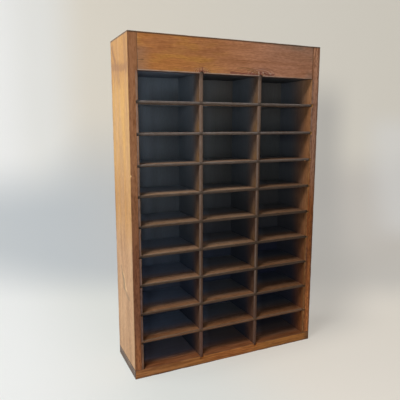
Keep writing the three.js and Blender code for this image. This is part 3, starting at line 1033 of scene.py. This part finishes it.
    def scribe(self, solid, hand, sizes):
        """Sinks a fine line along a side's front edge, from the bottom board to the rail."""
        line = hand * (inner_face + sizes.scribe_inset)
        half = sizes.scribe_width / 2
        cut_across(solid, 0, [line - half, line, line + half])
        cut_across(solid, 2, [rail_foot])
        for vert in solid.verts:
            on_line = abs(vert.co.x - line) < half / 4
            if on_line and vert.co.y < front_plane + half and vert.co.z < rail_foot + half:
                vert.co.y += sizes.scribe_depth

    def stop(self, node, hand, material, sizes):
        """Fills the holes over the nails in a side with wood-coloured stopping."""
        heads = [nail_place(name) for name in numbered("rail_nail_") + numbered("top_nail_")]
        heads = [(place, way) for place, way, _ in heads if place.x * hand > 0]
        outer = hand * cad_high.x
        depth = abs(outer - heads[0][0].x) - sizes.stopping_sink
        outer -= hand * sizes.stopping_sink
        places = [(Vector((outer, place.y, place.z)), way) for place, way in heads]
        values = {
            "Radius": sizes.nail_head / 2, "Depth": depth, "Seed": sizes.nail_seed, "Material": material,
        }
        mesh = stood_on_points(node + "_stopping", places, stopping_tree(), values)
        put(node + "_stopping", mesh, [])


class SORTER_OT_bottom(bpy.types.Operator):
    """Dress the bottom board"""

    bl_idname = "sorter.bottom"
    bl_label = "Bottom board"

    def execute(self, context):
        finish, sizes = context.scene.sorter_finish, context.scene.sorter_sizes
        board = Board("bottom_board", "level", 21)
        wood = Wood("bottom_board_wood", board, finish.base_front, pith=0.11, contrast=1.6, pace=0.3)
        x, y, z = wood.at.values()
        wood.blend(x.fall(-0.20, -0.03) * 0.15, finish.strip_high)
        wood.blend(x.rise(-0.10, -0.02) * x.fall(0.05, 0.12) * 0.6, finish.edge_orange)
        on_top = z.rise(base_top - 0.0016, base_top - 0.0008)
        wood.blend(on_top, finish.base_inside)
        wood.blend(on_top * x.rise(0.06, 0.16) * 0.7, finish.inner_low)
        depth = y - front_plane
        wood.blend(on_top * depth.rise(0.012, 0.036) * 0.6, finish.shelf_deep_low)
        wood.settle(finish, 0.024, 0.058, on_top)
        wood.multiply(on_top * depth.rise(0.030, 0.060), BASE_WARMTH)
        # A dark band along the foot: soiling and a painted contact shadow
        wood.blend(z.fall(0.001, 0.005) * 0.6, finish.grime_and_shade)
        wood.blend(x.rise(0.228, 0.2505) * 0.6, finish.grime_and_shade)
        wood.wear(finish.side_stain, 0.005, 0.4)
        end_grain = wood.gap["X"].fall(0.0004, 0.0012)
        wood.blend(end_grain * 0.9, finish.end_grain)
        streaks = wood.nodes.noise(wood.nodes.vector(0.0, y * 14, z * 190), 3)
        wood.blend(end_grain * streaks.rise(0.5, 0.66) * 0.6, finish.shelf_high)
        wood.line_edges(finish.grime_and_shade, 0.0010, 0.5)
        dressed_board(board, sizes.case_arris, wood.done(coat=0.08))
        return {"FINISHED"}


class SORTER_OT_rail(bpy.types.Operator):
    """Dress the rail over the holes"""

    bl_idname = "sorter.rail"
    bl_label = "Top rail"

    def execute(self, context):
        finish, sizes = context.scene.sorter_finish, context.scene.sorter_sizes
        board = Board("top_rail", "rail", 31)
        heads = [(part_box(node)[0].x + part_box(node)[1].x) / 2 for node in numbered("divider_")]
        knots = ((heads[0], rail_foot + 0.004, 0.006), (heads[1], rail_foot + 0.003, 0.0115))
        wood = Wood(
            "top_rail_wood", board, finish.rail_gold, pith=0.2, ring=0.0036, contrast=0.62, knots=knots
        )
        x, y, z = wood.at.values()
        wood.tint = wood.nodes.graded(x, (-0.17, finish.rail_gold), (0.15, finish.rail_rose))
        wood.mottle(14, 44, finish.rail_yellow, x.fall(-0.09, 0.06) * 0.7, 0.46, 0.66)
        wood.mottle(9, 60, finish.rail_brown, 0.5, 0.46, 0.64)
        corner = x.rise(0.07, 0.20) * z.rise(0.730, 0.768)
        wood.blend(corner * (0.25 + wood.stretched(9, 30, 3).rise(0.40, 0.60) * 0.6), finish.rail_grey)
        self.age_knots(wood, finish)
        self.age_ends(wood, finish)
        # A dark line along the top, painted as the shade of the upper edge
        wood.blend(z.rise(cad_high.z - 0.0052, cad_high.z - 0.0020) * 0.8, finish.grime_and_shade)
        front = y.fall(front_plane + 0.0012, front_plane + 0.0026)
        lip = z.fall(rail_foot + 0.0010, rail_foot + 0.0030)
        # The lower edge at the front: partly worn, partly a painted highlight that fades to the right
        rubbed_and_highlit = (0.5 + wood.vein * 0.6) * (1 - x.rise(0.08, 0.16) * 0.5)
        wood.blend(lip * front * rubbed_and_highlit, finish.rail_lip)
        wood.wear(finish.rail_grey, 0.004, 0.3)
        # Painted shade on the rail's underside
        wood.blend(lip * (1 - front) * 0.9, finish.rail_underside_shade)
        dressed_board(board, sizes.case_arris, wood.done(coat=0.08))
        return {"FINISHED"}

    def age_knots(self, wood, finish):
        """Red and pale lines that sweep round the knots over the dividers' heads."""
        streaks = wood.knot * wood.stretched(30, 240, 2).rise(0.44, 0.60)
        wood.blend(streaks * 0.5, finish.rail_red)
        for far in wood.from_knots:
            ring = (far * 2.6 + (wood.cloud - 0.5) * 0.8).fraction()
            near = far.fall(1.0, 2.0)
            wood.blend(near * ring.fall(0.10, 0.45) * 0.50, finish.rail_red)
            wood.blend(near * ring.rise(0.55, 0.90) * 0.40, finish.rail_lip)
        stain, red, pale = finish.side_stain, finish.rail_red, finish.rail_lip
        for half_width, tint, amount, *places in (
            (0.0022, stain, 0.6, (0.012, 0.7262), (0.035, 0.7285), (0.060, 0.7240), (0.070, 0.7170)),
            (0.0022, stain, 0.65, (0.040, 0.7222), (0.055, 0.7215), (0.066, 0.7160)),
            (0.0030, red, 0.8, (-0.004, 0.7155), (0.030, 0.7150), (0.068, 0.7135)),
            (0.0034, red, 0.9, (0.0755, 0.7115), (0.0765, 0.7190)),
            (0.0024, red, 0.8, (0.085, 0.7190), (0.095, 0.7150), (0.106, 0.7140), (0.114, 0.7170)),
            (0.0014, pale, 0.7, (0.0705, 0.7210), (0.0710, 0.7165)),
            (0.0014, pale, 0.7, (0.0830, 0.7210), (0.0840, 0.7180)),
            (0.0014, pale, 0.6, (0.1000, 0.7180), (0.1080, 0.7185)),
            (0.0020, red, 0.75, (-0.0850, 0.7110), (-0.0845, 0.7200)),
            (0.0020, red, 0.8, (-0.0775, 0.7110), (-0.0785, 0.7230)),
        ):
            wood.stroke("XZ", places, half_width, tint, amount)

    def age_ends(self, wood, finish):
        """Handling marks, a crack and soiling at the rail's ends."""
        x, z = wood.at["X"], wood.at["Z"]
        left_end = x.fall(-0.226, -0.190) * z.fall(0.745, 0.775)
        wood.blend(left_end * (0.25 + wood.vein * 0.5), finish.rail_grey)
        wood.stroke("XZ", ((-0.2305, 0.7322), (-0.2170, 0.7328)), 0.0011, finish.grime_and_shade, 0.6)
        worn = x.rise(0.200, 0.222) * z.fall(0.716, 0.738)
        wood.blend(worn * 0.55, finish.strip_high)
        seam = wood.gap["X"].fall(0.0004, 0.0016)
        wood.blend(seam * (0.20 + z.fall(0.725, 0.750) * 0.35), finish.dark_edge)


class SORTER_OT_covers(bpy.types.Operator):
    """Dress the ceiling over the top row and the top of the case"""

    bl_idname = "sorter.covers"
    bl_label = "Ceiling and top"

    def execute(self, context):
        finish, sizes = context.scene.sorter_finish, context.scene.sorter_sizes
        board = Board("ceiling_board", "level", 41)
        wood = Wood("ceiling_board_wood", board, finish.ceiling, contrast=0.4)
        # Painted shade on the ceiling, darker to the right
        wood.blend(wood.at["X"].rise(-0.20, 0.0) * 0.95, finish.dark_shade)
        dressed_board(board, sizes.grid_arris, wood.done())
        board = Board("top_board", "level", 42)
        wood = Wood("top_board_wood", board, finish.top_wood)
        wood.mottle(5, 20, finish.side_stain, 0.4)
        wood.wear(finish.side_stain, 0.006, 0.4)
        wood.line_edges(finish.grime_and_shade, 0.0012, 0.5)
        dressed_board(board, sizes.case_arris, wood.done())
        return {"FINISHED"}


# By column: where its back comes out from behind an upright, how much light and shade fall on it there,
# and what its upper and its lower part are multiplied by
BACK_COLUMNS = (
    (-0.184, 1.0, 1.0, (1.00, 1.00, 1.00), (1.00, 1.00, 1.00)),
    (-0.009, 0.7, 1.0, (0.93, 0.86, 0.76), (0.85, 1.00, 1.20)),
    (0.169, 0.2, 0.5, (0.80, 0.77, 0.70), (0.55, 0.60, 0.85)),
)

# Between which heights each knot of a back board lies, and how far it keeps from the board's edges
KNOT_HEIGHTS = ((0.12, 0.30), (0.38, 0.52), (0.58, 0.74))
KNOT_MARGIN = 0.03


class SORTER_OT_back(bpy.types.Operator):
    """Dress the lapped boards of the back"""

    bl_idname = "sorter.back"
    bl_label = "Back boards"

    def execute(self, context):
        finish, sizes = context.scene.sorter_finish, context.scene.sorter_sizes
        tints = (finish.back_raw, finish.back_brown, finish.back_pale)
        pieces = zip(numbered("back_board_"), tints, BACK_COLUMNS)
        for seed, (node, tint, column) in enumerate(pieces, start=51):
            board = Board(node, "back", seed)
            wood = Wood(node + "_wood", board, tint, pith=0.07, knots=self.knots(board))
            wood.mottle(4, 22, finish.side_stain, 0.35)
            for far in wood.from_knots:
                wood.blend(far.fall(0.35, 0.70) * 0.8, finish.side_stain)
                wood.blend((far - 0.62).size().fall(0.03, 0.16) * 0.5, finish.grime_and_shade)
            wood.wear(finish.grime_and_shade, 0.005, 0.4)
            wood.line_edges(finish.grime_and_shade, 0.0016, 0.7)
            self.age_inside(wood, column, finish)
            dressed_board(board, sizes.grid_arris, wood.done(coat=0.0))
        return {"FINISHED"}

    def knots(self, board):
        """The height, the place across and the size of each knot in a board."""
        draw = random.Random(board.seed)
        found = []
        for foot, head in KNOT_HEIGHTS:
            height = draw.uniform(foot, head)
            across = draw.uniform(board.low.x + KNOT_MARGIN, board.high.x - KNOT_MARGIN)
            found.append((height, across, draw.uniform(0.0045, 0.0080)))
        return found

    def age_inside(self, wood, column, finish):
        """Painted shade over dusty wood in the holes, painted light at each column's left, more shade at its
        right.
        """
        start, light, dark, high, low = column
        x, y, z = wood.at.values()
        inside = y.fall(wood.board.low.y + 0.0004, wood.board.low.y + 0.0012)
        wood.deepen(finish, 0.02, 0.06, inside, 0.8)
        wood.multiply(inside * x.fall(start + 0.004, start + 0.036) * light, BACK_LIGHT)
        shade = x.rise(start + 0.020, start + 0.095) * (0.25 + z.rise(0.36, 0.52) * 0.75)
        wood.multiply(inside * shade * dark, BACK_SHADE)
        wood.multiply(inside * z.rise(0.36, 0.46), high)
        wood.multiply(inside * z.fall(0.24, 0.32), low)
        # Painted light: the top of the back, in shade under the ceiling, is lightened
        wood.blend(inside * z.rise(0.670, 0.706) * x.fall(-0.12, 0.10) * 0.3, finish.shelf_dust_and_shade)
        wood.blend(inside * z.rise(0.55, 0.69) * x.rise(-0.12, 0.0) * 0.15, finish.shelf_high)


class SORTER_OT_dividers(bpy.types.Operator):
    """Dress the upright dividers as copies of the first"""

    bl_idname = "sorter.dividers"
    bl_label = "Dividers"

    def execute(self, context):
        finish = context.scene.sorter_finish
        nodes = numbered("divider_")
        board = Board(nodes[0], "upright", 61, even_step(nodes))
        wood = Wood("dividers_wood", board, finish.divider_high)
        self.age_faces(wood, finish)
        dress_row("dividers", nodes, wood, finish, self.edge_tint(wood, finish))
        return {"FINISHED"}

    def age_faces(self, wood, finish):
        """The broad faces, with painted warm light above each shelf and painted shade under it."""
        x, y, z = wood.case.values()
        right = x.rise(-0.02, 0.04)
        wood.tint = wood.nodes.graded(
            z, (0.06, finish.divider_foot), (0.22, finish.divider_low), (0.60, finish.divider_high)
        )
        wood.deepen(finish, 0.012, 0.06)
        near = y.fall(front_plane + 0.010, front_plane + 0.045)
        not_lowest = z.rise(0.14, 0.22)
        # Painted warm light near the front, low in each row, and painted shade under each shelf
        warm = 0.38 + z.rise(0.46, 0.52) * z.fall(0.62, 0.66) * (0.34 - right * 0.14)
        up = wood.up_row()
        wood.blend(near * up.fall(0.10, 0.55) * not_lowest * warm, finish.divider_warm_light)
        under = (0.3 + not_lowest * z.fall(0.48, 0.54) * 0.7) * (1 - right * 0.4)
        wood.multiply(near * up.rise(0.45, 0.80) * under, UNDER_SHELF)

    def edge_tint(self, wood, finish):
        """Front edges' colour, with a painted highlight at their left and painted shade at their right."""
        x, _, z = wood.case.values()
        right = x.rise(-0.02, 0.04)
        mix = wood.nodes.mix
        tint = wood.nodes.graded(
            z, (0.06, finish.upright_foot), (0.20, finish.upright_low), (0.60, finish.upright_high)
        )
        tint = mix(right * z.fall(0.50, 0.62) * 0.6, tint, finish.upright_warm)
        tint = mix(right * z.rise(0.10, 0.18) * z.fall(0.34, 0.44) * 0.3, tint, finish.grime_and_shade)
        # Painted highlight on the left half of each front edge and painted shade on its right half
        across = wood.at["X"] - wood.board.low.x
        split = z.rise(0.08, 0.20) * z.fall(0.52, 0.66) * 0.75 + 0.25
        tint = mix(across.fall(0.0030, 0.0046) * split * 0.75, tint, finish.upright_highlight)
        painted_shade = 0.9 - x.fall(-0.04, 0.02) * 0.5
        return mix(across.rise(0.0044, 0.0066) * split * painted_shade, tint, finish.grime_and_shade)


# Where chips are knocked out of the lower front edges of the first and the seventh shelf
SHELF_CHIPS = {0: -0.172, 6: 0.221}


class SORTER_OT_shelves(bpy.types.Operator):
    """Dress the shelves as copies of the lowest"""

    bl_idname = "sorter.shelves"
    bl_label = "Shelves"

    def execute(self, context):
        finish = context.scene.sorter_finish
        nodes = numbered("shelf_")
        board = Board(nodes[0], "level", 71, even_step(nodes))
        wood = Wood("shelves_wood", board, finish.shelf_low, contrast=1.5)
        self.age_faces(wood, finish)
        chips = []
        for index, x in SHELF_CHIPS.items():
            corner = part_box(nodes[index])[0]
            chips.append(Vector((x, corner.y, corner.z)))
        dress_row("shelves", nodes, wood, finish, self.edge_tint(wood, finish), chips)
        return {"FINISHED"}

    def age_faces(self, wood, finish):
        """The broad faces, worn with a painted highlight along the front, dusty with painted shade behind.
        """
        x, y, z = wood.case.values()
        graded = wood.nodes.graded
        depth = y - front_plane
        wood.tint = graded(z, (0.06, finish.shelf_low), (0.42, finish.shelf_high))
        # Paler along the front of each face: partly worn, partly a painted highlight
        rubbed_and_highlit = graded(z, (0.10, finish.arris_low), (0.42, finish.arris_high))
        wood.blend(depth.fall(0.0072, 0.0096) * 0.8, rubbed_and_highlit)
        deep = graded(z, (0.10, finish.shelf_deep_low), (0.42, finish.shelf_deep_high))
        wood.blend(depth.rise(0.016, 0.040) * 0.85, deep)
        wood.blend(x.rise(0.03, 0.12) * 0.45, finish.shelf_right)
        highest = z.rise(0.46, 0.58) * (x.rise(0.06, 0.12) * 0.5 + x.fall(-0.12, -0.06) * 0.25)
        wood.blend(highest, finish.divider_low)
        wood.settle(finish, 0.026, 0.070)

    def edge_tint(self, wood, finish):
        """Front edges' colour: a painted highlight and wear above, painted shadow below, dark where they
        cross a divider.
        """
        x, _, z = wood.case.values()
        mix, graded = wood.nodes.mix, wood.nodes.graded
        tint = graded(
            z, (0.06, finish.brown_edge), (0.20, finish.dark_edge), (0.34, finish.dark_edge),
            (0.58, finish.worn_edge),
        )
        height = wood.at["Z"] - wood.board.low.z
        # Partly worn, partly a painted highlight along the top of each front edge
        rubbed_and_highlit = graded(z, (0.40, finish.highlit_rubbed_low), (0.60, finish.highlit_rubbed_edge))
        tint = mix(height.rise(0.0040, 0.0056) * 0.85, tint, rubbed_and_highlit)
        middle = x.rise(-0.10, 0.0) * z.rise(0.12, 0.20) * z.fall(0.38, 0.52)
        tint = mix(middle * 0.75, tint, finish.dark_edge)
        # Painted shadow line along the lower part of each front edge
        tint = mix(height.fall(0.0012, 0.0032) * 0.85, tint, finish.grime_and_shade)
        for low, high in map(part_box, numbered("divider_")):
            off = (x - (low.x + high.x) / 2).size() - (high.x - low.x) / 2
            tint = mix(off.fall(-0.0012, 0.0008) * 0.6, tint, finish.dark_edge)
        return tint


def even_step(nodes):
    """The step from each of a row of like boards to the next."""
    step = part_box(nodes[1])[0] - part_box(nodes[0])[0]
    return Vector([part if abs(part) > 1e-4 else 0.0 for part in step])


def dress_row(name, nodes, wood, finish, edge_tint, chips=()):
    """Dresses boards that repeat in even steps, with worn front edges."""
    sizes = bpy.context.scene.sorter_sizes
    board = wood.board
    edge = wood.at["Y"].fall(board.low.y + 0.0012, board.low.y + 0.0028)
    wood.blend(edge * 0.95, edge_tint)
    wood.contrast = wood.contrast * (1 - edge * 0.4)
    for place in chips:
        wood.chipped(place, sizes.chip_reach, finish.inner_high)
    solid = prepare(board, sizes.grid_arris, sizes.grid_slice, chips)
    wear_edges(solid, board, sizes.wear_depth * 0.5)
    mesh = repeated(name, solid, wood.done(coat=0.03), len(nodes), board.step)
    for place in chips:
        chip_off(mesh.vertices, board, place)
    put(name, mesh, nodes)


class SORTER_OT_nails(bpy.types.Operator):
    """Drive the nails of the case and of its back"""

    bl_idname = "sorter.nails"
    bl_label = "Nails"

    def execute(self, context):
        finish, sizes = context.scene.sorter_finish, context.scene.sorter_sizes
        steel = nail_steel(finish)
        case = [node for prefix in ("base_nail_", "rail_nail_", "top_nail_") for node in numbered(prefix)]
        back = numbered("back_nail_")
        nails("case_nails", case, sizes.nail_head, sizes.nail_shank, steel)
        nails("back_nails", back, sizes.back_nail_head, sizes.back_nail_shank, steel)
        return {"FINISHED"}


def nail_steel(finish):
    """Dull steel with rust in patches."""
    material = bpy.data.materials.new("nail_steel")
    nodes = emptied(material)
    place = nodes.add("ShaderNodeTexCoord").outputs["Object"]
    scaled = nodes.add("ShaderNodeVectorMath", {"operation": "SCALE"}, {"Vector": place, "Scale": 900.0})
    rust = nodes.noise(scaled.outputs["Vector"], 3).rise(0.45, 0.65)
    tint = nodes.mix(rust, finish.nail_steel, finish.nail_rust)
    shader = nodes.add(
        "ShaderNodeBsdfPrincipled",
        sockets={"Base Color": tint, "Metallic": 1 - rust * 0.8, "Roughness": 0.45 + rust * 0.35},
    )
    nodes.add("ShaderNodeOutputMaterial", sockets={"Surface": shader.outputs[0]})
    return material


def seen_directly(nodes):
    """1 where the camera sees a thing itself or in a mirror or glass, and 0 where it only gets light."""
    rays = nodes.add("ShaderNodeLightPath").outputs
    looks = [Value(nodes, rays[f"Is {kind} Ray"]) for kind in ("Camera", "Glossy", "Transmission")]
    return looks[0].most(looks[1]).most(looks[2])


def either(nodes, factor, first, second):
    """The output of a mix of two shaders."""
    sockets = {"Fac": factor, "Shader": first.outputs[0], "Shader_001": second.outputs[0]}
    return nodes.add("ShaderNodeMixShader", sockets=sockets).outputs[0]


# The camera's place and direction, found from the edges of the case in the photograph
EYE = Vector((-0.5214, -1.0292, 0.5941))
SIGHT = Vector((0.4101, 0.8973, -0.1634))


class SORTER_OT_stage(bpy.types.Operator):
    """Set the paper sweep, the light and the camera"""

    bl_idname = "sorter.stage"
    bl_label = "Stage"

    def execute(self, context):
        stage = context.scene.sorter_stage
        self.sweep(context, stage)
        self.lamps(context, stage)
        self.even_light(context, stage)
        self.camera(context, stage)
        context.scene.view_settings.view_transform = "Standard"
        return {"FINISHED"}

    def sweep(self, context, stage):
        """A floor of paper that curves up into a wall."""
        half_width, front, reach, bend, height, facets = 4.0, -4.0, 1.5, 0.9, 3.0, 24
        profile = [(front, 0.0), (reach - bend, 0.0)]
        for i in range(1, facets + 1):
            angle = math.pi / 2 * i / facets
            profile.append((reach - bend + bend * math.sin(angle), bend - bend * math.cos(angle)))
        profile.append((reach, height))
        verts = [(x, y, z) for y, z in profile for x in (-half_width, half_width)]
        faces = [(2 * i, 2 * i + 1, 2 * i + 3, 2 * i + 2) for i in range(len(profile) - 1)]
        mesh = bpy.data.meshes.new("paper_sweep")
        mesh.from_pydata(verts, [], faces)
        for face in mesh.polygons:
            face.use_smooth = True
        mesh.materials.append(self.paper(stage))
        sweep = bpy.data.objects.new("paper_sweep", mesh)
        context.scene.collection.objects.link(sweep)

    def paper(self, stage):
        """Pale paper that takes the sorter's shadow, with part of its look painted on as its own glow."""
        material = bpy.data.materials.new("sweep_paper")
        nodes = emptied(material)
        lit = nodes.add("ShaderNodeBsdfPrincipled", sockets={"Base Color": stage.sweep, "Roughness": 0.9})
        look = {"Color": self.paper_tint(nodes, stage), "Strength": 1.0}
        glow = nodes.add("ShaderNodeEmission", sockets=look)
        shader = either(nodes, seen_directly(nodes) * stage.glow, lit, glow)
        nodes.add("ShaderNodeOutputMaterial", sockets={"Surface": shader})
        return material

    def paper_tint(self, nodes, stage):
        """The paper's look, light and shade painted in, from the floor over the bend to the wall, left to
        right.
        """
        x, y, z = nodes.place().values()
        graded, mix = nodes.graded, nodes.mix
        floor = graded(x, (-0.55, stage.floor_left), (-0.18, stage.floor_middle), (0.15, stage.floor_right))
        bend = graded(x, (-0.4, stage.bend_left), (0.7, stage.bend_middle), (1.6, stage.bend_right))
        wall = graded(
            x, (-0.50, stage.wall_bright), (-0.28, stage.wall_left), (0.0, stage.wall_middle),
            (1.3, stage.wall_right),
        )
        tint = mix((y + x * 0.55).rise(0.26, 0.74), floor, bend)
        close = x.rise(-0.35, 0.0) * x.fall(0.3, 0.8)
        tint = mix(z.rise(0.17, 0.48 + close * 0.25), tint, wall)
        # The soft shade that the case throws back along the paper, and the lighter paper clear of it
        beside = x - y * 0.82 - 0.37
        shaded = beside.rise(-0.5, -0.2) * beside.fall(-0.02, 0.27)
        shaded = shaded * y.rise(-0.17, 0.02) * z.fall(0.65, 1.0)
        tint = mix(shaded * (0.60 + y.rise(0.1, 0.9) * 0.15), tint, stage.bend_shade)
        clear = beside.rise(0.25, 0.60) * y.rise(0.5, 0.9) * z.fall(0.50, 0.75)
        return mix(clear * 0.55, tint, stage.bend_far)

    def lamps(self, context, stage):
        """Round lamps turned to the middle of the sorter: left, high in front, and cool from the room."""
        for name, place, size, power, tint in (
            ("left_lamp", (-2.0, 0.45, 1.10), 1.6, stage.left_power, (1, 1, 1)),
            ("high_lamp", (-0.90, -0.62, 1.67), 0.55, stage.high_power, (1, 1, 1)),
            ("room_lamp", (-1.25, -2.15, 0.60), 1.0, stage.room_power, stage.room_tint),
        ):
            light = bpy.data.lights.new(name, "AREA")
            light.shape = "DISK"
            light.size = size
            light.energy = power
            light.color = tint
            lamp = bpy.data.objects.new(name, light)
            lamp.location = place
            outward = Vector(place) - (cad_low + cad_high) / 2
            lamp.rotation_euler = outward.to_track_quat("Z", "Y").to_euler()
            context.scene.collection.objects.link(lamp)

    def even_light(self, context, stage):
        """A weak even light all round, pale where it is seen itself."""
        world = bpy.data.worlds.new("even_light")
        nodes = emptied(world)
        even = {"Color": stage.fill, "Strength": stage.fill_level}
        light = nodes.add("ShaderNodeBackground", sockets=even)
        pale = nodes.add("ShaderNodeBackground", sockets={"Color": stage.bend_right, "Strength": 1.0})
        shader = either(nodes, seen_directly(nodes), light, pale)
        nodes.add("ShaderNodeOutputWorld", sockets={"Surface": shader})
        context.scene.world = world

    def camera(self, context, stage):
        """The camera at the photograph's place."""
        lens = bpy.data.cameras.new("camera")
        lens.lens = stage.lens
        lens.sensor_width = 36
        camera = bpy.data.objects.new("camera", lens)
        camera.location = EYE
        camera.rotation_euler = SIGHT.to_track_quat("-Z", "Y").to_euler()
        context.scene.collection.objects.link(camera)
        context.scene.camera = camera


PIECES = (
    SORTER_OT_sides, SORTER_OT_bottom, SORTER_OT_rail, SORTER_OT_covers, SORTER_OT_back,
    SORTER_OT_dividers, SORTER_OT_shelves, SORTER_OT_nails, SORTER_OT_stage,
)


class SORTER_PT_panel(bpy.types.Panel):
    """The sorter's sizes, colours and pieces"""

    bl_idname = "SORTER_PT_panel"
    bl_label = "Pigeonhole sorter"
    bl_space_type = "VIEW_3D"
    bl_region_type = "UI"
    bl_category = "Sorter"

    def draw(self, context):
        scene = context.scene
        for group in (scene.sorter_sizes, scene.sorter_finish, scene.sorter_stage):
            box = self.layout.box()
            for name in group.bl_rna.properties.keys():
                if name not in ("rna_type", "name"):
                    box.prop(group, name)
        for operator in PIECES:
            self.layout.operator(operator.bl_idname)


GROUPS = {"sorter_sizes": SorterSizes, "sorter_finish": SorterFinish, "sorter_stage": SorterStage}


def register():
    for kind in (*GROUPS.values(), *PIECES, SORTER_PT_panel):
        bpy.utils.register_class(kind)
    for name, kind in GROUPS.items():
        setattr(bpy.types.Scene, name, PointerProperty(type=kind))


def unregister():
    for name in GROUPS:
        delattr(bpy.types.Scene, name)
    for kind in reversed((*GROUPS.values(), *PIECES, SORTER_PT_panel)):
        bpy.utils.unregister_class(kind)


def main():
    """Registers the add-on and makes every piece."""
    register()
    bpy.ops.sorter.stage()
    bpy.ops.sorter.sides()
    bpy.ops.sorter.bottom()
    bpy.ops.sorter.rail()
    bpy.ops.sorter.covers()
    bpy.ops.sorter.back()
    bpy.ops.sorter.dividers()
    bpy.ops.sorter.shelves()
    bpy.ops.sorter.nails()


if __name__ == "__main__":
    main()
